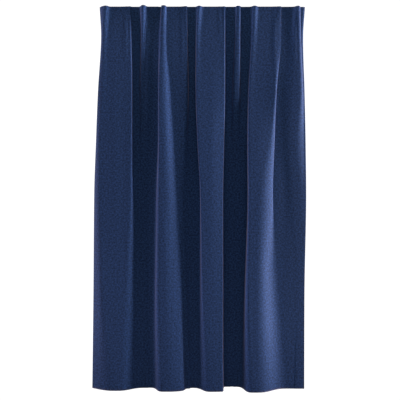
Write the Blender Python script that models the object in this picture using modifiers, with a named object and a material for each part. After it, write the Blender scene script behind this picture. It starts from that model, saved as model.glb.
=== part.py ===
"""A blackout curtain: one panel of velvet that hangs in soft folds from its pleated heading.

The origin is the middle of the heading's top edge. +Z is up, +X is to the viewer's right, and the pile side
of the cloth looks along -Y. All sizes are in metres.
"""

from typing import NamedTuple

import bmesh
import bpy
from mathutils import Vector
from mathutils.geometry import interpolate_bezier

# Driving dimensions
CUT_WIDTH = 1.40  # the finished panel laid flat, side edge to side edge
DROP = 2.25  # heading to hem
CLOTH_THICKNESS = 0.002  # backing and pile together

# How far down the drop each level of the fold table lies
LEVELS = {
    "heading": 0.0, "shoulder": 0.17, "chest": 0.50, "ribs": 0.80, "waist": 1.10, "knee": 1.70, "hem": DROP,
}

# How the cloth bends: a bend's handles grow with its run and with its depth
RUN_SHARE = 0.42
DEPTH_SHARE = 0.25

# A pleat pinched into the heading falls off towards the middle of its face, and dies out down the drop
PINCH_RUN = 0.026
PINCH_REACH = 0.12
PINCH_SHARE = 0.45  # the most of a face's width that the run of one pleat may take

# How far down the drop a crease takes to open into a soft bend
OPENING = 0.35

# The folds may be this much deeper or shallower than the table says, to take up the cut width
SHALLOWEST = 0.5
DEEPEST = 1.1
HALVINGS = 40

# Mesh density: columns in each kind of stretch, and rows down the drop
BEND_STEPS = 5
PINCH_STEPS = 3
FLAT_STEPS = 2
ROWS = 18
ROW_CROWDING = 1.25  # over 1 sets the rows closer together near the heading


class Face(NamedTuple):
    """A stretch of cloth between two bends, which faces the viewer.

    At each level it is (left, right, out): where it starts and ends across the panel, and how far it stands
    out towards the viewer. A fourth number is how much further back its right end lies, or further out where
    it is below zero. pinches are the heights of the heading's pleats at its left and right ends. roundness is
    how softly the cloth turns at those ends: 0 for a crease, 1 for a soft bend, and over 1 for a bend that
    grows steeper as it goes. Below the drop that opens gives, each of them is a soft bend.
    """

    name: str
    heading: tuple
    shoulder: tuple
    chest: tuple
    ribs: tuple
    waist: tuple
    knee: tuple
    hem: tuple
    pinches: tuple = (0.0, 0.0)
    roundness: tuple = (1.0, 1.0)
    opens: float = DROP


FACES = (
    Face("left side edge", (-0.591, -0.591, -0.008), (-0.582, -0.582, -0.006), (-0.5985, -0.5985, 0.002),
         (-0.6125, -0.6125, -0.006), (-0.6245, -0.6245, -0.013), (-0.631, -0.631, -0.020),
         (-0.638, -0.638, -0.026)),
    Face("first fold", (-0.551, -0.411, 0.000), (-0.562, -0.408, 0.006), (-0.570, -0.403, 0.009),
         (-0.585, -0.404, 0.011), (-0.585, -0.407, 0.011), (-0.560, -0.440, 0.011), (-0.509, -0.477, 0.020),
         pinches=(0.011, 0.003), roundness=(1.0, 0.6), opens=1.05),
    Face("first valley", (-0.3995, -0.362, -0.002), (-0.398, -0.356, -0.009), (-0.392, -0.361, -0.013),
         (-0.390, -0.358, -0.011), (-0.383, -0.354, -0.009), (-0.358, -0.343, -0.011),
         (-0.337, -0.322, -0.026)),
    Face("low fold", (-0.331, -0.247, 0.000), (-0.337, -0.306, 0.001), (-0.344, -0.312, -0.002),
         (-0.344, -0.318, -0.007), (-0.344, -0.320, -0.008), (-0.333, -0.318, -0.011),
         (-0.316, -0.310, -0.026), pinches=(0.018, 0.0)),
    Face("second valley", (-0.238, -0.232, -0.002), (-0.262, -0.245, -0.001), (-0.284, -0.250, -0.009),
         (-0.300, -0.254, -0.012), (-0.308, -0.270, -0.011), (-0.308, -0.280, -0.014),
         (-0.304, -0.290, -0.028)),
    Face("second fold", (-0.220, -0.212, 0.000), (-0.226, -0.218, 0.005), (-0.235, -0.223, 0.019),
         (-0.233, -0.214, 0.024), (-0.234, -0.206, 0.023), (-0.240, -0.128, 0.022, 0.010),
         (-0.219, -0.106, 0.033, 0.012), pinches=(0.014, 0.015), roundness=(1.0, 1.4), opens=1.30),
    Face("step", (-0.194, -0.082, 0.000), (-0.197, -0.078, 0.003), (-0.170, -0.080, 0.005),
         (-0.150, -0.095, 0.006), (-0.133, -0.112, 0.005), (-0.094, -0.090, -0.001), (-0.074, -0.070, -0.014),
         pinches=(0.0, 0.005), roundness=(0.6, 1.0)),
    Face("third valley", (-0.071, -0.030, -0.002), (-0.070, -0.033, -0.011), (-0.060, -0.031, -0.019),
         (-0.056, -0.020, -0.018), (-0.045, -0.004, -0.011), (-0.060, -0.015, -0.018),
         (-0.048, -0.036, -0.025)),
    Face("third fold", (-0.005, 0.1425, 0.000), (-0.0155, 0.143, 0.006), (-0.019, 0.143, 0.014, 0.004),
         (-0.009, 0.138, 0.019, 0.012), (0.007, 0.131, 0.023, 0.010), (0.022, 0.130, 0.024, 0.006),
         (0.057, 0.128, 0.035, 0.003), pinches=(0.010, 0.003), roundness=(0.8, 0.45)),
    Face("fourth valley", (0.154, 0.206, -0.002), (0.154, 0.201, -0.011), (0.155, 0.185, -0.019),
         (0.149, 0.188, -0.021), (0.144, 0.190, -0.024), (0.148, 0.185, -0.032), (0.152, 0.178, -0.043)),
    Face("dart", (0.2185, 0.2285, 0.000), (0.215, 0.228, 0.001), (0.203, 0.224, -0.002),
         (0.201, 0.219, -0.017), (0.202, 0.220, -0.025), (0.198, 0.208, -0.033), (0.186, 0.195, -0.045),
         pinches=(0.008, 0.009)),
    Face("fifth valley", (0.244, 0.291, -0.002), (0.244, 0.292, -0.011), (0.248, 0.279, -0.019),
         (0.242, 0.275, -0.021), (0.238, 0.274, -0.024), (0.226, 0.247, -0.032), (0.206, 0.220, -0.042)),
    Face("fourth fold", (0.3205, 0.470, 0.000), (0.314, 0.450, 0.001), (0.293, 0.438, 0.004, -0.003),
         (0.287, 0.408, 0.018, 0.004), (0.290, 0.350, 0.025), (0.282, 0.335, 0.034), (0.300, 0.335, 0.047),
         pinches=(0.010, 0.003), roundness=(1.0, 1.6), opens=1.35),
    Face("plain", (0.477, 0.552, -0.002), (0.477, 0.520, -0.002), (0.450, 0.456, -0.003),
         (0.4385, 0.445, -0.008), (0.430, 0.500, -0.011), (0.462, 0.560, -0.012), (0.505, 0.555, -0.014),
         roundness=(0.0, 1.0), opens=1.35),
    Face("side fold", (0.570, 0.574, 0.000), (0.572, 0.578, 0.002), (0.564, 0.588, 0.002),
         (0.545, 0.568, -0.005), (0.560, 0.588, -0.010), (0.585, 0.595, -0.012), (0.560, 0.590, -0.013),
         pinches=(0.008, 0.010), roundness=(1.0, 1.4)),
    Face("side hem", (0.590, 0.608, -0.003), (0.596, 0.602, -0.008), (0.613, 0.617, -0.017),
         (0.617, 0.622, -0.015), (0.619, 0.623, -0.011), (0.607, 0.612, -0.012), (0.600, 0.609, -0.013),
         roundness=(0.3, 0.3)),
    Face("right side edge", (0.618, 0.618, -0.006), (0.609, 0.609, -0.012), (0.620, 0.620, -0.020),
         (0.625, 0.625, -0.017), (0.627, 0.627, -0.012), (0.617, 0.617, -0.012), (0.615, 0.615, -0.013)),
)


def slope_at(drops, values, i):
    """The slope of the smooth curve through values at level i, which never overshoots a level's own value."""
    if i in (0, len(drops) - 1):
        near = 1 if i == 0 else i - 1
        return (values[near] - values[i]) / (drops[near] - drops[i])
    before = (values[i] - values[i - 1]) / (drops[i] - drops[i - 1])
    after = (values[i + 1] - values[i]) / (drops[i + 1] - drops[i])
    if before * after <= 0:
        return 0.0
    return 2 * before * after / (before + after)


def between_levels(values, drop):
    """A value of the fold table at any drop, from its values at the levels."""
    drops = list(LEVELS.values())
    i = max(k for k in range(len(drops) - 1) if drops[k] <= drop)
    span = drops[i + 1] - drops[i]
    t = (drop - drops[i]) / span
    start, end = slope_at(drops, values, i) * span, slope_at(drops, values, i + 1) * span
    return (
        values[i] * (2 * t**3 - 3 * t**2 + 1)
        + start * (t**3 - 2 * t**2 + t)
        + values[i + 1] * (3 * t**2 - 2 * t**3)
        + end * (t**3 - t**2)
    )


class Bend(NamedTuple):
    """A point of the cloth's line, and the number of columns in the stretch that leads to it."""

    steps: int
    across: float
    out: float
    slope: float = 0.0
    roundness: float = 1.0


def roundness_at(face, drop):
    """How softly a face turns at its two ends, at a drop."""
    opened = min(1.0, max(0.0, (drop - face.opens) / OPENING + 0.5))
    return [end + (1.0 - end) * opened for end in face.roundness]


def face_bends(face, drop):
    """The bends that a face runs through at a drop. It falls back ever faster towards its right end."""
    cells = [(*getattr(face, level), 0.0)[:4] for level in LEVELS]
    left, right, out, fall = (between_levels([cell[k] for cell in cells], drop) for k in range(4))
    heading_width = face.heading[1] - face.heading[0]
    if heading_width == 0:
        return [Bend(BEND_STEPS, left, out, roundness=0.0)]
    fade = 1 / (1 + (drop / PINCH_REACH) ** 2)
    left_pinch, right_pinch = (height * fade for height in face.pinches)
    left_roundness, right_roundness = roundness_at(face, drop)
    steepest = -3 * fall / (right - left)
    bends = [Bend(BEND_STEPS, left, out + left_pinch, 0.0, left_roundness)]
    if any(face.pinches) and heading_width > 2 * PINCH_RUN:
        run = min(PINCH_RUN, PINCH_SHARE * (right - left))
        rest_of_pinch = 1 - run / PINCH_RUN
        near = run / (right - left)
        far = 1 - near
        bends.append(
            Bend(PINCH_STEPS, left + run, out + left_pinch * rest_of_pinch - fall * near**3, steepest * near**2)
        )
        bends.append(
            Bend(FLAT_STEPS, right - run, out + right_pinch * rest_of_pinch - fall * far**3, steepest * far**2)
        )
    last_steps = PINCH_STEPS if len(bends) > 1 else FLAT_STEPS
    bends.append(Bend(last_steps, right, out + right_pinch - fall, steepest, right_roundness))
    return bends


def plan_curve(drop, depth_scale):
    """The cloth's line at a drop, seen from above, from the left side edge to the right one."""
    bends = [bend for face in FACES for bend in face_bends(face, drop)]
    line = [Vector((bends[0].across, bends[0].out * depth_scale, 0))]
    for before, bend in zip(bends, bends[1:]):
        start, end = line[-1], Vector((bend.across, bend.out * depth_scale, 0))
        run, depth = abs(end.x - start.x), abs(end.y - start.y)
        level, steep = RUN_SHARE * run, DEPTH_SHARE * depth * min(1, depth / run)
        leave = level * before.roundness + steep * min(1, before.roundness)
        arrive = level * bend.roundness + steep * min(1, bend.roundness)
        leaving = start + Vector((1, before.slope * depth_scale, 0)) * leave
        arriving = end - Vector((1, bend.slope * depth_scale, 0)) * arrive
        line += interpolate_bezier(start, leaving, arriving, end, bend.steps + 1)[1:]
    return line


def length_of(line):
    """How long a line of points is."""
    return sum((b - a).length for a, b in zip(line, line[1:]))


def fitted_plan(drop):
    """The cloth's line at a drop, with its folds as deep as takes up the cut width.

    The heading lies flatter than that, because its small pleats take up the rest behind.
    """
    shallow, deep = SHALLOWEST, DEEPEST
    for _ in range(HALVINGS):
        middle = (shallow + deep) / 2
        if length_of(plan_curve(drop, middle)) < CUT_WIDTH:
            shallow = middle
        else:
            deep = middle
    return plan_curve(drop, shallow)


def velvet():
    """Deep navy cloth with a soft sheen."""
    material = bpy.data.materials.new("velvet")
    material.use_nodes = True
    surface = material.node_tree.nodes["Principled BSDF"]
    surface.inputs["Base Color"].default_value = (0.018, 0.032, 0.092, 1)
    surface.inputs["Roughness"].default_value = 0.85
    surface.inputs["Metallic"].default_value = 0.0
    surface.inputs["Sheen Weight"].default_value = 0.4
    return material


def curtain_panel(collection):
    """The panel: a grid of cloth hung on its plan curves, then given its thickness."""
    drops = [DROP * (row / ROWS) ** ROW_CROWDING for row in range(ROWS + 1)]
    plans = [fitted_plan(drop) for drop in drops]
    columns = len(plans[0]) - 1
    grid = bmesh.new()
    bmesh.ops.create_grid(grid, x_segments=columns, y_segments=ROWS, size=1)
    for vertex in grid.verts:
        column = round((vertex.co.x + 1) / 2 * columns)
        row = round((1 - vertex.co.y) / 2 * ROWS)
        point = plans[row][column]
        vertex.co = (point.x, -point.y, -drops[row])
    mesh = bpy.data.meshes.new("curtain_panel")
    grid.to_mesh(mesh)
    grid.free()
    mesh.shade_smooth()
    mesh.materials.append(velvet())
    panel = bpy.data.objects.new("curtain_panel", mesh)
    collection.objects.link(panel)
    wall = panel.modifiers.new("cloth thickness", "SOLIDIFY")
    wall.thickness = CLOTH_THICKNESS
    wall.offset = 0
    return panel


def main():
    for leftover in list(bpy.data.objects):
        bpy.data.objects.remove(leftover, do_unlink=True)
    collection = bpy.data.collections.new("blackout_curtain")
    bpy.context.scene.collection.children.link(collection)
    curtain_panel(collection)


main()
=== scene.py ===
import bisect
import math
from typing import NamedTuple

import bpy
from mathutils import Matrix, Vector
from mathutils.geometry import interpolate_bezier


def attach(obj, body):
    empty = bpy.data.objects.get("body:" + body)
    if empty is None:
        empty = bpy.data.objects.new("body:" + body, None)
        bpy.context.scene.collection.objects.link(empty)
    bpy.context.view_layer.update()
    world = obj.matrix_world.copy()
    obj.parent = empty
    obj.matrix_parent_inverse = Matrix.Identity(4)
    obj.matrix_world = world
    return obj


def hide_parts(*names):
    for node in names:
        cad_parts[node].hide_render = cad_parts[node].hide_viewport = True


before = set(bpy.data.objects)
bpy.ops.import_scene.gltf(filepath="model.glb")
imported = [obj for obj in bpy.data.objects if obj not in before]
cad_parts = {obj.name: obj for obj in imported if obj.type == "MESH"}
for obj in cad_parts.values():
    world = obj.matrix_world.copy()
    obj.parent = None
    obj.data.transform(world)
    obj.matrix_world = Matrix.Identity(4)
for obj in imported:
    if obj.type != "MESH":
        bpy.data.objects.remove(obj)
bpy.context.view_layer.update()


# The hung cloth: one cut length of blackout velvet, pinched into small pleats along its heading and left to
# fall. The pleats open into four broad folds with deep valleys between them, and no two folds are alike.
# It is woven, dyed navy and hemmed on all four sides, and it hangs from the back of its heading.

CUT_WIDTH = 1.40
DROP = 2.25
CLOTH_THICKNESS = 0.002

LEVELS = {
    "heading": 0.0, "shoulder": 0.17, "chest": 0.50, "ribs": 0.80, "waist": 1.10, "knee": 1.70, "hem": DROP,
}


class Face(NamedTuple):
    """A stretch of cloth between two bends, as (left, right, out) at each level.

    A fourth number is how much further back its right end lies, or further out where it is below zero.
    pinches are the heights of the heading's pleats at its two ends, and roundness is how softly it turns
    there: 0 for a crease, over 1 for a turn that grows steeper as it goes. Below the drop that opens gives,
    each turn is a plain soft one.
    """

    name: str
    heading: tuple
    shoulder: tuple
    chest: tuple
    ribs: tuple
    waist: tuple
    knee: tuple
    hem: tuple
    pinches: tuple = (0.0, 0.0)
    roundness: tuple = (1.0, 1.0)
    opens: float = DROP


FACES = (
    Face("left side edge", (-0.591, -0.591, -0.008), (-0.582, -0.582, -0.006), (-0.5985, -0.5985, 0.002),
         (-0.6125, -0.6125, -0.006), (-0.6245, -0.6245, -0.013), (-0.631, -0.631, -0.020),
         (-0.638, -0.638, -0.026)),
    Face("first fold", (-0.551, -0.411, 0.000), (-0.562, -0.408, 0.006), (-0.570, -0.403, 0.009),
         (-0.585, -0.404, 0.011), (-0.585, -0.407, 0.011), (-0.560, -0.440, 0.011), (-0.509, -0.477, 0.020),
         pinches=(0.011, 0.003), roundness=(1.0, 0.6), opens=1.05),
    Face("first valley", (-0.3995, -0.362, -0.002), (-0.398, -0.356, -0.009), (-0.392, -0.361, -0.013),
         (-0.390, -0.358, -0.011), (-0.383, -0.354, -0.009), (-0.358, -0.343, -0.011),
         (-0.337, -0.322, -0.026)),
    Face("low fold", (-0.331, -0.247, 0.000), (-0.337, -0.306, 0.001), (-0.344, -0.312, -0.002),
         (-0.344, -0.318, -0.007), (-0.344, -0.320, -0.008), (-0.333, -0.318, -0.011),
         (-0.316, -0.310, -0.026), pinches=(0.018, 0.0)),
    Face("second valley", (-0.238, -0.232, -0.002), (-0.262, -0.245, -0.001), (-0.284, -0.250, -0.009),
         (-0.300, -0.254, -0.012), (-0.308, -0.270, -0.011), (-0.308, -0.280, -0.014),
         (-0.304, -0.290, -0.028)),
    Face("second fold", (-0.220, -0.212, 0.000), (-0.226, -0.218, 0.005), (-0.235, -0.223, 0.019),
         (-0.233, -0.214, 0.024), (-0.234, -0.206, 0.023), (-0.240, -0.128, 0.022, 0.010),
         (-0.219, -0.106, 0.033, 0.012), pinches=(0.014, 0.015), roundness=(1.0, 1.4), opens=1.30),
    Face("step", (-0.194, -0.082, 0.000), (-0.197, -0.078, 0.003), (-0.170, -0.080, 0.005),
         (-0.150, -0.095, 0.006), (-0.133, -0.112, 0.005), (-0.094, -0.090, -0.001), (-0.074, -0.070, -0.014),
         pinches=(0.0, 0.005), roundness=(0.6, 1.0)),
    Face("third valley", (-0.071, -0.030, -0.002), (-0.070, -0.033, -0.011), (-0.060, -0.031, -0.019),
         (-0.056, -0.020, -0.018), (-0.045, -0.004, -0.011), (-0.060, -0.015, -0.018),
         (-0.048, -0.036, -0.025)),
    Face("third fold", (-0.005, 0.1425, 0.000), (-0.0155, 0.143, 0.006), (-0.019, 0.143, 0.014, 0.004),
         (-0.009, 0.138, 0.019, 0.012), (0.007, 0.131, 0.023, 0.010), (0.022, 0.130, 0.024, 0.006),
         (0.057, 0.128, 0.035, 0.003), pinches=(0.010, 0.003), roundness=(0.8, 0.45)),
    Face("fourth valley", (0.154, 0.206, -0.002), (0.154, 0.201, -0.011), (0.155, 0.185, -0.019),
         (0.149, 0.188, -0.021), (0.144, 0.190, -0.024), (0.148, 0.185, -0.032), (0.152, 0.178, -0.043)),
    Face("dart", (0.2185, 0.2285, 0.000), (0.215, 0.228, 0.001), (0.203, 0.224, -0.002),
         (0.201, 0.219, -0.017), (0.202, 0.220, -0.025), (0.198, 0.208, -0.033), (0.186, 0.195, -0.045),
         pinches=(0.008, 0.009)),
    Face("fifth valley", (0.244, 0.291, -0.002), (0.244, 0.292, -0.011), (0.248, 0.279, -0.019),
         (0.242, 0.275, -0.021), (0.238, 0.274, -0.024), (0.226, 0.247, -0.032), (0.206, 0.220, -0.042)),
    Face("fourth fold", (0.3205, 0.470, 0.000), (0.314, 0.450, 0.001), (0.293, 0.438, 0.004, -0.003),
         (0.287, 0.408, 0.018, 0.004), (0.290, 0.350, 0.025), (0.282, 0.335, 0.034), (0.300, 0.335, 0.047),
         pinches=(0.010, 0.003), roundness=(1.0, 1.6), opens=1.35),
    Face("plain", (0.477, 0.552, -0.002), (0.477, 0.520, -0.002), (0.450, 0.456, -0.003),
         (0.4385, 0.445, -0.008), (0.430, 0.500, -0.011), (0.462, 0.560, -0.012), (0.505, 0.555, -0.014),
         roundness=(0.0, 1.0), opens=1.35),
    Face("side fold", (0.570, 0.574, 0.000), (0.572, 0.578, 0.002), (0.564, 0.588, 0.002),
         (0.545, 0.568, -0.005), (0.560, 0.588, -0.010), (0.585, 0.595, -0.012), (0.560, 0.590, -0.013),
         pinches=(0.008, 0.010), roundness=(1.0, 1.4)),
    Face("side hem", (0.590, 0.608, -0.003), (0.596, 0.602, -0.008), (0.613, 0.617, -0.017),
         (0.617, 0.622, -0.015), (0.619, 0.623, -0.011), (0.607, 0.612, -0.012), (0.600, 0.609, -0.013),
         roundness=(0.3, 0.3)),
    Face("right side edge", (0.618, 0.618, -0.006), (0.609, 0.609, -0.012), (0.620, 0.620, -0.020),
         (0.625, 0.625, -0.017), (0.627, 0.627, -0.012), (0.617, 0.617, -0.012), (0.615, 0.615, -0.013)),
)

RUN_SHARE = 0.42
DEPTH_SHARE = 0.25
PINCH_RUN = 0.026
PINCH_REACH = 0.12
PINCH_SHARE = 0.45
OPENING = 0.35  # how far down the drop a crease takes to open

SHALLOWEST_SCALE = 0.5
DEEPEST_SCALE = 1.1
FIT_STEPS = 24

BEND_COLUMNS = 10
PINCH_COLUMNS = 8
FLAT_COLUMN_WIDTH = 0.013
CLOTH_ROWS = 140
ROW_CROWDING = 1.15


class Crease(NamedTuple):
    """A soft ridge, or a trough where height is below zero, that runs down the cloth between two drops."""

    top_across: float
    top_drop: float
    low_across: float
    low_drop: float
    width: float
    height: float


CREASES = (
    Crease(-0.434, -0.12, -0.434, 0.36, 0.009, 0.0024),
    Crease(-0.103, -0.12, -0.104, 0.42, 0.009, 0.0024),
    Crease(0.116, -0.12, 0.118, 0.24, 0.009, 0.0018),
    Crease(0.440, -0.12, 0.437, 0.40, 0.009, 0.0020),
    Crease(0.5535, -0.12, 0.556, 0.36, 0.008, 0.0026),
    Crease(-0.500, 0.10, -0.490, 1.30, 0.022, 0.0008),
    Crease(-0.455, 0.35, -0.440, 1.90, 0.016, -0.0006),
    Crease(-0.594, 1.35, -0.575, 2.15, 0.016, 0.0020),
    Crease(-0.205, 1.20, -0.190, 2.22, 0.012, 0.0006),
    Crease(-0.125, 1.60, -0.112, 2.45, 0.008, 0.0010),
    Crease(0.045, 0.25, 0.050, 1.20, 0.018, -0.0006),
    Crease(0.500, 0.60, 0.490, 1.60, 0.022, -0.0006),
    Crease(-0.350, 0.80, -0.345, 2.00, 0.014, 0.0008),
)


def slope_at(drops, values, i):
    """The slope of the smooth curve through values at level i."""
    if i in (0, len(drops) - 1):
        near = 1 if i == 0 else i - 1
        return (values[near] - values[i]) / (drops[near] - drops[i])
    before = (values[i] - values[i - 1]) / (drops[i] - drops[i - 1])
    after = (values[i + 1] - values[i]) / (drops[i + 1] - drops[i])
    if before * after <= 0:
        return 0.0
    return 2 * before * after / (before + after)


def between_levels(values, drop):
    """A value of the fold table at any drop, from its values at the levels."""
    drops = list(LEVELS.values())
    i = max(k for k in range(len(drops) - 1) if drops[k] <= drop)
    span = drops[i + 1] - drops[i]
    t = (drop - drops[i]) / span
    start, end = slope_at(drops, values, i) * span, slope_at(drops, values, i + 1) * span
    return (
        values[i] * (2 * t**3 - 3 * t**2 + 1)
        + start * (t**3 - 2 * t**2 + t)
        + values[i + 1] * (3 * t**2 - 2 * t**3)
        + end * (t**3 - t**2)
    )


class Bend(NamedTuple):
    """A point of the cloth's line, and the number of columns in the stretch that leads to it."""

    steps: int
    across: float
    out: float
    slope: float = 0.0
    roundness: float = 1.0


def flat_columns(face):
    """Enough columns for a face where it is widest."""
    widest = max(getattr(face, level)[1] - getattr(face, level)[0] for level in LEVELS)
    return max(3, round(widest / FLAT_COLUMN_WIDTH))


def roundness_at(face, drop):
    """How softly a face turns at its two ends, at a drop."""
    opened = min(1.0, max(0.0, (drop - face.opens) / OPENING + 0.5))
    return [end + (1.0 - end) * opened for end in face.roundness]


def face_bends(face, drop):
    """The bends that a face runs through at a drop. It falls back ever faster towards its right end."""
    cells = [(*getattr(face, level), 0.0)[:4] for level in LEVELS]
    left, right, out, fall = (between_levels([cell[k] for cell in cells], drop) for k in range(4))
    heading_width = face.heading[1] - face.heading[0]
    if heading_width == 0:
        return [Bend(BEND_COLUMNS, left, out, roundness=0.0)]
    fade = 1 / (1 + (drop / PINCH_REACH) ** 2)
    left_pinch, right_pinch = (height * fade for height in face.pinches)
    left_roundness, right_roundness = roundness_at(face, drop)
    steepest = -3 * fall / (right - left)
    bends = [Bend(BEND_COLUMNS, left, out + left_pinch, 0.0, left_roundness)]
    if any(face.pinches) and heading_width > 2 * PINCH_RUN:
        run = min(PINCH_RUN, PINCH_SHARE * (right - left))
        rest_of_pinch = 1 - run / PINCH_RUN
        share = run / (right - left)
        bends.append(Bend(PINCH_COLUMNS, left + run, out + left_pinch * rest_of_pinch - fall * share**3,
                          steepest * share**2))
        bends.append(Bend(flat_columns(face), right - run,
                          out + right_pinch * rest_of_pinch - fall * (1 - share) ** 3,
                          steepest * (1 - share) ** 2))
    last_steps = PINCH_COLUMNS if len(bends) > 1 else flat_columns(face)
    bends.append(Bend(last_steps, right, out + right_pinch - fall, steepest, right_roundness))
    return bends


def plan_curve(drop, depth_scale):
    """The cloth's line at a drop, seen from above, from the left side edge to the right one."""
    bends = [bend for face in FACES for bend in face_bends(face, drop)]
    line = [Vector((bends[0].across, bends[0].out * depth_scale, 0))]
    for before, bend in zip(bends, bends[1:]):
        start, end = line[-1], Vector((bend.across, bend.out * depth_scale, 0))
        run, depth = abs(end.x - start.x), abs(end.y - start.y)
        level, steep = RUN_SHARE * run, DEPTH_SHARE * depth * min(1, depth / run)
        leave = level * before.roundness + steep * min(1, before.roundness)
        arrive = level * bend.roundness + steep * min(1, bend.roundness)
        leaving = start + Vector((1, before.slope * depth_scale, 0)) * leave
        arriving = end - Vector((1, bend.slope * depth_scale, 0)) * arrive
        line += interpolate_bezier(start, leaving, arriving, end, bend.steps + 1)[1:]
    return line


def length_of(line):
    """How long a line of points is."""
    return sum((b - a).length for a, b in zip(line, line[1:]))


def fitted_plan(drop):
    """The cloth's line at a drop, with its folds as deep as takes up the cut width.

    The heading lies flatter than that, because its small pleats take up the rest behind.
    """
    shallow, deep = SHALLOWEST_SCALE, DEEPEST_SCALE
    for _ in range(FIT_STEPS):
        middle = (shallow + deep) / 2
        if length_of(plan_curve(drop, middle)) < CUT_WIDTH:
            shallow = middle
        else:
            deep = middle
    return plan_curve(drop, shallow)


def crease_height(across, drop):
    """How far the small creases stand out of the cloth at a place."""
    height = 0.0
    for crease in CREASES:
        t = (drop - crease.top_drop) / (crease.low_drop - crease.top_drop)
        if 0 < t < 1:
            middle = crease.top_across + t * (crease.low_across - crease.top_across)
            beside = math.exp(-(((across - middle) / crease.width) ** 2))
            height += crease.height * math.sin(math.pi * t) * beside
    return height


cloth_drops = [DROP * (row / CLOTH_ROWS) ** ROW_CROWDING for row in range(CLOTH_ROWS + 1)]
cloth_lines = [fitted_plan(drop) for drop in cloth_drops]
cloth_columns = len(cloth_lines[0]) - 1


def square_to(line):
    """At each point of a line, the direction towards the front of the cloth."""
    fronts = []
    for k in range(len(line)):
        along = (line[min(k + 1, len(line) - 1)] - line[max(k - 1, 0)]).normalized()
        fronts.append(Vector((-along.y, along.x, 0)))
    return fronts


def creased(line, drop):
    """A line of cloth with its small creases: each point moves square to the line."""
    return [point + front * crease_height(point.x, drop) for point, front in zip(line, square_to(line))]


cloth_lines = [creased(line, drop) for line, drop in zip(cloth_lines, cloth_drops)]

bpy.ops.object.select_all(action="DESELECT")
bpy.ops.mesh.primitive_grid_add(x_subdivisions=cloth_columns, y_subdivisions=CLOTH_ROWS, size=2)
panel = bpy.context.object
panel.name = "velvet_panel"
flat_map = panel.data.uv_layers.active
cloth_place = {}
for vertex in panel.data.vertices:
    column = round((vertex.co.x + 1) / 2 * cloth_columns)
    row = round((1 - vertex.co.y) / 2 * CLOTH_ROWS)
    cloth_place[vertex.index] = (column, row)
    point = cloth_lines[row][column]
    vertex.co = (point.x, -point.y, -cloth_drops[row])

# Its UV map is the cloth laid flat, in metres from its top left corner, so nap and weave follow the folds
run_along = []
for line in cloth_lines:
    lengths = [0.0]
    for a, b in zip(line, line[1:]):
        lengths.append(lengths[-1] + (b - a).length)
    run_along.append(lengths)
for loop in panel.data.loops:
    column, row = cloth_place[loop.vertex_index]
    flat_map.data[loop.index].uv = (run_along[row][column], DROP - cloth_drops[row])


def wired(material, from_node, from_socket, to_node, to_socket):
    """Joins two sockets of a material."""
    material.node_tree.links.new(from_node.outputs[from_socket], to_node.inputs[to_socket])


def new_cloth_material(name):
    """A material with its surface shader, and the cloth's flat map in metres."""
    material = bpy.data.materials.new(name)
    material.use_nodes = True
    surface = material.node_tree.nodes["Principled BSDF"]
    flat = material.node_tree.nodes.new("ShaderNodeUVMap")
    flat.uv_map = "UVMap"
    return material, surface, flat


def mottle(material, flat, size, detail, roughness=0.55, stretch=1.0, shift=0.0):
    """Blotches of one size in metres, taller than wide by stretch."""
    place = material.node_tree.nodes.new("ShaderNodeMapping")
    place.inputs["Scale"].default_value = (1 / size, 1 / (size * stretch), 1)
    place.inputs["Location"].default_value = (shift, 2 * shift, 0)
    noise = material.node_tree.nodes.new("ShaderNodeTexNoise")
    noise.noise_dimensions = "2D"
    noise.inputs["Scale"].default_value = 1.0
    noise.inputs["Detail"].default_value = detail
    noise.inputs["Roughness"].default_value = roughness
    wired(material, flat, "UV", place, "Vector")
    wired(material, place, "Vector", noise, "Vector")
    return noise


def blended(material, low_colour, high_colour, noise, low=0.35, high=0.65):
    """A colour that runs from one tone to another with a noise."""
    ramp = material.node_tree.nodes.new("ShaderNodeValToRGB")
    ramp.color_ramp.elements[0].position = low
    ramp.color_ramp.elements[1].position = high
    ramp.color_ramp.elements[0].color = (*low_colour, 1)
    ramp.color_ramp.elements[1].color = (*high_colour, 1)
    wired(material, noise, "Fac", ramp, "Fac")
    return ramp


def bumped(material, pattern, strength, distance, under=None):
    """A bump from a pattern, on top of another bump."""
    bump = material.node_tree.nodes.new("ShaderNodeBump")
    bump.inputs["Strength"].default_value = strength
    bump.inputs["Distance"].default_value = distance
    wired(material, pattern, "Fac", bump, "Height")
    if under is not None:
        wired(material, under, "Normal", bump, "Normal")
    return bump


NAVY_DEEP = (0.0058, 0.0156, 0.0505)
NAVY_NAP = (0.0200, 0.0534, 0.1725)
NAP_SIZE = 0.010
FUZZ_SIZE = 0.0035
NAP_HEIGHT = 0.0008
PILE_HEIGHT = 0.0006

velvet, velvet_surface, velvet_flat = new_cloth_material("navy_velvet")
nap = mottle(velvet, velvet_flat, NAP_SIZE, 4.0, roughness=0.75)
tone = blended(velvet, NAVY_DEEP, NAVY_NAP, nap, 0.34, 0.66)
wired(velvet, tone, "Color", velvet_surface, "Base Color")
velvet_surface.inputs["Roughness"].default_value = 0.80
velvet_surface.inputs["Specular IOR Level"].default_value = 0.15
velvet_surface.inputs["Sheen Weight"].default_value = 0.60
velvet_surface.inputs["Sheen Roughness"].default_value = 0.30
velvet_surface.inputs["Sheen Tint"].default_value = (0.86, 0.70, 0.92, 1)
fuzz = mottle(velvet, velvet_flat, FUZZ_SIZE, 4.0, shift=7.0)
crushed = bumped(velvet, nap, 0.35, NAP_HEIGHT)
pile = bumped(velvet, fuzz, 0.35, PILE_HEIGHT, crushed)
wired(velvet, pile, "Normal", velvet_surface, "Normal")

# The back is a dense plain weave without pile: fine threads cross, with a thicker one here and there
THREAD_PITCH = 0.0016
WAVES_PER_UNIT = math.pi / 10  # the wave pattern's scale at which one wave is one unit long
BACK_DEEP = (0.0070, 0.0150, 0.0430)
BACK_PALE = (0.0200, 0.0370, 0.0950)
THREAD_HEIGHT = 0.0004
SLUB_HEIGHT = 0.0006


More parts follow.
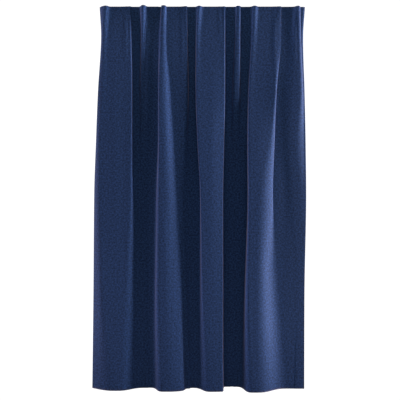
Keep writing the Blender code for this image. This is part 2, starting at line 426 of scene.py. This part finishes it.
def threads(material, flat, turn):
    """Ridges of one set of threads, upright ones at no turn."""
    place = material.node_tree.nodes.new("ShaderNodeMapping")
    place.inputs["Rotation"].default_value = (0, 0, turn)
    place.inputs["Scale"].default_value = (1 / THREAD_PITCH, 1 / THREAD_PITCH, 1)
    ridges = material.node_tree.nodes.new("ShaderNodeTexWave")
    ridges.bands_direction = "X"
    ridges.inputs["Scale"].default_value = WAVES_PER_UNIT
    ridges.inputs["Distortion"].default_value = 0.6
    ridges.inputs["Detail"].default_value = 1.0
    wired(material, flat, "UV", place, "Vector")
    wired(material, place, "Vector", ridges, "Vector")
    return ridges


backing, backing_surface, backing_flat = new_cloth_material("woven_back")
shade = mottle(backing, backing_flat, 0.035, 4.0, stretch=2.5)
slubs = mottle(backing, backing_flat, 0.0024, 2.0, stretch=18.0, shift=3.0)
weft_slubs = mottle(backing, backing_flat, 0.045, 2.0, stretch=0.055, shift=11.0)
shade_tone = blended(backing, BACK_DEEP, BACK_PALE, shade, 0.25, 0.75)
slub_tone = blended(backing, BACK_DEEP, BACK_PALE, slubs, 0.30, 0.70)
weft_tone = blended(backing, BACK_DEEP, BACK_PALE, weft_slubs, 0.30, 0.70)
slub_mix = backing.node_tree.nodes.new("ShaderNodeMixRGB")
slub_mix.inputs["Fac"].default_value = 0.5
yarn_mix = backing.node_tree.nodes.new("ShaderNodeMixRGB")
yarn_mix.inputs["Fac"].default_value = 0.5
wired(backing, slub_tone, "Color", slub_mix, "Color1")
wired(backing, weft_tone, "Color", slub_mix, "Color2")
wired(backing, shade_tone, "Color", yarn_mix, "Color1")
wired(backing, slub_mix, "Color", yarn_mix, "Color2")
wired(backing, yarn_mix, "Color", backing_surface, "Base Color")
upright = bumped(backing, threads(backing, backing_flat, 0.0), 0.30, THREAD_HEIGHT)
crosswise = threads(backing, backing_flat, math.radians(90))
crossing = bumped(backing, crosswise, 0.30, THREAD_HEIGHT, upright)
slub_bump = bumped(backing, slubs, 0.40, SLUB_HEIGHT, crossing)
weft_bump = bumped(backing, weft_slubs, 0.40, SLUB_HEIGHT, slub_bump)
wired(backing, weft_bump, "Normal", backing_surface, "Normal")
backing_surface.inputs["Roughness"].default_value = 0.88
backing_surface.inputs["Specular IOR Level"].default_value = 0.20
backing_surface.inputs["Sheen Weight"].default_value = 0.15
backing_surface.inputs["Sheen Roughness"].default_value = 0.50

panel.data.materials.append(velvet)
panel.data.materials.append(backing)
wall = panel.modifiers.new("cloth thickness", "SOLIDIFY")
wall.thickness = CLOTH_THICKNESS
wall.offset = 0
wall.material_offset = 1
bpy.ops.object.modifier_apply(modifier=wall.name)
panel.data.shade_smooth()
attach(panel, "root")
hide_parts("curtain_panel")


# The hems: on all four sides the cloth is folded to the back, pile outwards, and pressed. The side hems are
# narrow, and the bottom hem and the turned heading are deep.

HEM_THICKNESS = 0.0016
HEM_CLEARANCE = 0.0003
HEM_INSET = 0.0005
SIDE_HEM = 0.025
BOTTOM_HEM = 0.080
HEADING_TURN = 0.075
SIDE_HEM_DROPS = (HEADING_TURN, DROP - BOTTOM_HEM)
HEM_BEHIND = CLOTH_THICKNESS / 2 + HEM_CLEARANCE + HEM_THICKNESS / 2
ACROSS_CELL = 0.005
DOWN_CELL = 0.014


cloth_fronts = [square_to(line) for line in cloth_lines]


def row_at(drop):
    """The cloth's row at a drop, as a whole row and a share of the next one."""
    row = CLOTH_ROWS * (max(drop, 0.0) / DROP) ** (1 / ROW_CROWDING)
    above = min(int(row), CLOTH_ROWS - 1)
    return above, row - above


def on_row(row, along, behind):
    """A place on one row of the cloth."""
    line, fronts, lengths = cloth_lines[row], cloth_fronts[row], run_along[row]
    reach = min(max(along, 0.0), lengths[-1])
    k = min(bisect.bisect_right(lengths, reach), len(lengths) - 1)
    t = (reach - lengths[k - 1]) / (lengths[k] - lengths[k - 1])
    front = fronts[k - 1].lerp(fronts[k], t).normalized()
    return line[k - 1].lerp(line[k], t) - front * behind


def cloth_place_at(along, drop, behind):
    """A place on the hung cloth, from its place on the flat cloth and how far behind its middle it lies."""
    above, share = row_at(drop)
    point = on_row(above, along, behind).lerp(on_row(above + 1, along, behind), share)
    return Vector((point.x, -point.y, -drop))


def flat_width(drop):
    """The cloth's length along its own surface at a drop."""
    above, share = row_at(drop)
    return run_along[above][-1] * (1 - share) + run_along[above + 1][-1] * share


def whole_width(drop):
    """The flat places of the two ends of a hem that runs from side to side."""
    return HEM_INSET, flat_width(drop) - HEM_INSET


def left_strip(drop):
    """The flat places of the left side hem's two edges."""
    return HEM_INSET, SIDE_HEM


def right_strip(drop):
    """The flat places of the right side hem's two edges."""
    return flat_width(drop) - SIDE_HEM, flat_width(drop) - HEM_INSET


def turned_hem(name, edges, drops):
    """A strip of the same cloth behind the panel, between two drops. edges gives its two edges at a drop."""
    left, right = edges(drops[0])
    columns = max(4, round((right - left) / ACROSS_CELL))
    rows = max(6, round((drops[1] - drops[0]) / DOWN_CELL))
    bpy.ops.object.select_all(action="DESELECT")
    bpy.ops.mesh.primitive_grid_add(x_subdivisions=columns, y_subdivisions=rows, size=2)
    hem = bpy.context.object
    hem.name = name
    flat_places = {}
    for vertex in hem.data.vertices:
        across, down = (vertex.co.x + 1) / 2, (1 - vertex.co.y) / 2
        drop = drops[0] + down * (drops[1] - drops[0])
        left, right = edges(drop)
        along = left + across * (right - left)
        flat_places[vertex.index] = (along, DROP - drop)
        vertex.co = cloth_place_at(along, drop, HEM_BEHIND)
    for loop in hem.data.loops:
        hem.data.uv_layers.active.data[loop.index].uv = flat_places[loop.vertex_index]
    layer = hem.modifiers.new("hem thickness", "SOLIDIFY")
    layer.thickness = HEM_THICKNESS
    layer.offset = 0
    bpy.ops.object.modifier_apply(modifier=layer.name)
    hem.data.shade_smooth()
    hem.data.materials.append(velvet)
    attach(hem, "root")
    return hem


hems = [
    turned_hem("heading_turn", whole_width, (HEM_INSET, HEADING_TURN)),
    turned_hem("bottom_hem", whole_width, (DROP - BOTTOM_HEM, DROP - HEM_INSET)),
    turned_hem("left_side_hem", left_strip, SIDE_HEM_DROPS),
    turned_hem("right_side_hem", right_strip, SIDE_HEM_DROPS),
]


# The slip stitches: small slanting stitches of navy thread along the inner edge of each hem. They are sewn by
# hand from the back, and no stitch goes through to the pile.

STITCH_PITCH = 0.009
STITCH_LENGTH = 0.0050
STITCH_SLANT = 0.0022
THREAD_RADIUS = 0.00035
CLOTH_BACK = CLOTH_THICKNESS / 2
HEM_BACK = CLOTH_BACK + HEM_CLEARANCE + HEM_THICKNESS
STITCH_STEPS = (
    # share of the stitch's length past the hem's edge, and how far behind the cloth's middle
    (-0.5, CLOTH_BACK),
    (-0.2, CLOTH_BACK + 2 * THREAD_RADIUS),
    (0.1, HEM_BACK + THREAD_RADIUS),
    (0.5, HEM_BACK - THREAD_RADIUS),
)

stitch_lines = bpy.data.curves.new("slip_stitches", "CURVE")
stitch_lines.dimensions = "3D"
stitch_lines.bevel_depth = THREAD_RADIUS
stitch_lines.bevel_resolution = 0
stitch_lines.use_fill_caps = True


def slip_stitch(along, drop, over, beside):
    """One stitch across a hem's edge. over points into the hem, and beside along its edge."""
    stitch = stitch_lines.splines.new("POLY")
    stitch.points.add(len(STITCH_STEPS) - 1)
    for point, (past, behind) in zip(stitch.points, STITCH_STEPS):
        place = cloth_place_at(
            along + past * (over[0] * STITCH_LENGTH + beside[0] * STITCH_SLANT),
            drop + past * (over[1] * STITCH_LENGTH + beside[1] * STITCH_SLANT),
            behind,
        )
        point.co = (*place, 1)


TO_LEFT, TO_RIGHT, UPWARD, DOWNWARD = (-1, 0), (1, 0), (0, -1), (0, 1)
for k in range(1, int((CUT_WIDTH - 2 * SIDE_HEM) / STITCH_PITCH)):
    along = SIDE_HEM + k * STITCH_PITCH
    slip_stitch(along, DROP - BOTTOM_HEM, DOWNWARD, TO_RIGHT)
    if along < flat_width(HEADING_TURN) - SIDE_HEM:
        slip_stitch(along, HEADING_TURN, UPWARD, TO_RIGHT)
for k in range(1, int((SIDE_HEM_DROPS[1] - SIDE_HEM_DROPS[0]) / STITCH_PITCH)):
    drop = SIDE_HEM_DROPS[0] + k * STITCH_PITCH
    slip_stitch(SIDE_HEM, drop, TO_LEFT, DOWNWARD)
    slip_stitch(flat_width(drop) - SIDE_HEM, drop, TO_RIGHT, DOWNWARD)

stitches = bpy.data.objects.new("slip_stitches", stitch_lines)
bpy.context.scene.collection.objects.link(stitches)
bpy.ops.object.select_all(action="DESELECT")
stitches.select_set(True)
bpy.context.view_layer.objects.active = stitches
bpy.ops.object.convert(target="MESH")
stitches = bpy.context.object
stitches.data.shade_smooth()

THREAD_DEEP = (0.020, 0.036, 0.095)
THREAD_PALE = (0.060, 0.090, 0.190)
TWISTS_PER_METRE = 2500.0

thread = bpy.data.materials.new("navy_thread")
thread.use_nodes = True
thread_surface = thread.node_tree.nodes["Principled BSDF"]
thread_place = thread.node_tree.nodes.new("ShaderNodeTexCoord")
twist = thread.node_tree.nodes.new("ShaderNodeTexNoise")
twist.inputs["Scale"].default_value = TWISTS_PER_METRE
twist.inputs["Detail"].default_value = 2.0
thread_tone = blended(thread, THREAD_DEEP, THREAD_PALE, twist)
wired(thread, thread_place, "Object", twist, "Vector")
wired(thread, thread_tone, "Color", thread_surface, "Base Color")
wired(thread, bumped(thread, twist, 0.4, 0.0002), "Normal", thread_surface, "Normal")
thread_surface.inputs["Roughness"].default_value = 0.55
thread_surface.inputs["Specular IOR Level"].default_value = 0.40
stitches.data.materials.append(thread)
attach(stitches, "root")


# The studio: a pale floor in a white surround. A tall soft light far to each side rakes across the folds,
# the right one much the stronger, and two small ones in front wash the heading and the hem. The room is
# darker on the camera's side.

FLOOR_GAP = 0.015
FLOOR_RADIUS = 2.2
FLOOR_BACK = 0.6
PAPER_GREY = (0.65, 0.65, 0.65, 1)
FLOOR_GLOW = 1.1

bpy.ops.object.select_all(action="DESELECT")
bpy.ops.mesh.primitive_circle_add(
    vertices=96, radius=FLOOR_RADIUS, fill_type="NGON", location=(0, FLOOR_BACK, -DROP - FLOOR_GAP)
)
studio = bpy.context.object
studio.name = "studio_floor"
bpy.ops.object.transform_apply(location=True, rotation=False, scale=False)
paper = bpy.data.materials.new("studio_paper")
paper.use_nodes = True
paper_nodes = paper.node_tree.nodes
sweep = paper_nodes["Principled BSDF"]
sweep.inputs["Base Color"].default_value = PAPER_GREY
sweep.inputs["Roughness"].default_value = 0.9
sweep.inputs["Specular IOR Level"].default_value = 0.1
lit = paper_nodes.new("ShaderNodeEmission")
lit.inputs["Strength"].default_value = FLOOR_GLOW
seen = paper_nodes.new("ShaderNodeLightPath")
either = paper_nodes.new("ShaderNodeMixShader")
wired(paper, seen, "Is Camera Ray", either, "Fac")
paper.node_tree.links.new(sweep.outputs["BSDF"], either.inputs[1])
paper.node_tree.links.new(lit.outputs["Emission"], either.inputs[2])
wired(paper, either, "Shader", paper_nodes["Material Output"], "Surface")
studio.data.materials.append(paper)

BACK_GLOW = 1.10
FRONT_GLOW = 0.13
GLOW_START, GLOW_END = -0.3, 0.5  # how far to the back the surround starts and ends getting brighter
sky = bpy.data.worlds.new("studio_light")
sky.use_nodes = True
direction = sky.node_tree.nodes.new("ShaderNodeTexCoord")
depth = sky.node_tree.nodes.new("ShaderNodeSeparateXYZ")
glow = sky.node_tree.nodes.new("ShaderNodeMapRange")
glow.interpolation_type = "SMOOTHSTEP"
glow.inputs["From Min"].default_value = GLOW_START
glow.inputs["From Max"].default_value = GLOW_END
glow.inputs["To Min"].default_value = FRONT_GLOW
glow.inputs["To Max"].default_value = BACK_GLOW
seen_sky = sky.node_tree.nodes.new("ShaderNodeLightPath")
brighter = sky.node_tree.nodes.new("ShaderNodeMath")
brighter.operation = "MAXIMUM"
backdrop = sky.node_tree.nodes["Background"]
backdrop.inputs["Color"].default_value = (1, 1, 1, 1)
sky.node_tree.links.new(direction.outputs["Generated"], depth.inputs["Vector"])
sky.node_tree.links.new(depth.outputs["Y"], glow.inputs["Value"])
sky.node_tree.links.new(glow.outputs["Result"], brighter.inputs[0])
sky.node_tree.links.new(seen_sky.outputs["Is Camera Ray"], brighter.inputs[1])
sky.node_tree.links.new(brighter.outputs["Value"], backdrop.inputs["Strength"])
bpy.context.scene.world = sky

MIDDLE = Vector((0, 0, -DROP / 2))


def softbox(name, width, height, place, power, colour, aim=MIDDLE):
    """A soft light that the camera doesn't see, aimed at the middle of the panel or at another place."""
    light = bpy.data.lights.new(name, "AREA")
    light.shape = "RECTANGLE"
    light.size = width
    light.size_y = height
    light.energy = power
    light.color = colour
    box = bpy.data.objects.new(name, light)
    bpy.context.scene.collection.objects.link(box)
    box.location = place
    box.rotation_euler = (aim - box.location).to_track_quat("-Z", "Y").to_euler()
    box.visible_camera = False


SIDE_DISTANCE = 14.0
SIDE_HEIGHT = -1.6
KEY_AZIMUTH = math.radians(85)
FILL_AZIMUTH = math.radians(-84)
WARM_WHITE = (1.0, 0.93, 0.89)
PINK_WHITE = (1.0, 0.84, 0.88)
GREEN_WHITE = (0.92, 1.0, 0.82)
AT_HEADING = Vector((0, 0, -0.3))
AT_HEM = Vector((0, 0, -2.3))


def beside_panel(azimuth):
    """A place round the panel, at an angle from straight in front of it."""
    return (SIDE_DISTANCE * math.sin(azimuth), -SIDE_DISTANCE * math.cos(azimuth), SIDE_HEIGHT)


softbox("right_light", 2.4, 7.0, beside_panel(KEY_AZIMUTH), 7250.0, WARM_WHITE)
softbox("left_light", 3.0, 7.0, beside_panel(FILL_AZIMUTH), 2400.0, PINK_WHITE)
softbox("top_light", 2.4, 0.6, (0, -1.6, 1.2), 15.5, GREEN_WHITE, aim=AT_HEADING)
softbox("low_light", 2.4, 0.3, (0, -1.8, -2.1), 1.8, GREEN_WHITE, aim=AT_HEM)


# The camera stands in front of the middle of the panel and looks straight at it, from about half its
# height. Its lens gives the photograph's 170.2 pixels to a metre at the panel.

CAMERA_DISTANCE = 2.25
CAMERA_DROP = 1.1364
PICTURE_PIXELS = 400
PIXELS_PER_METRE = 170.2
SENSOR = 36.0

lens = bpy.data.cameras.new("camera")
lens.sensor_width = SENSOR
lens.lens = SENSOR * PIXELS_PER_METRE * CAMERA_DISTANCE / PICTURE_PIXELS
camera = bpy.data.objects.new("camera", lens)
bpy.context.scene.collection.objects.link(camera)
camera.location = (0, -CAMERA_DISTANCE, -CAMERA_DROP)
camera.rotation_euler = (math.radians(90), 0, 0)
bpy.context.scene.camera = camera
bpy.context.scene.view_settings.view_transform = "Standard"
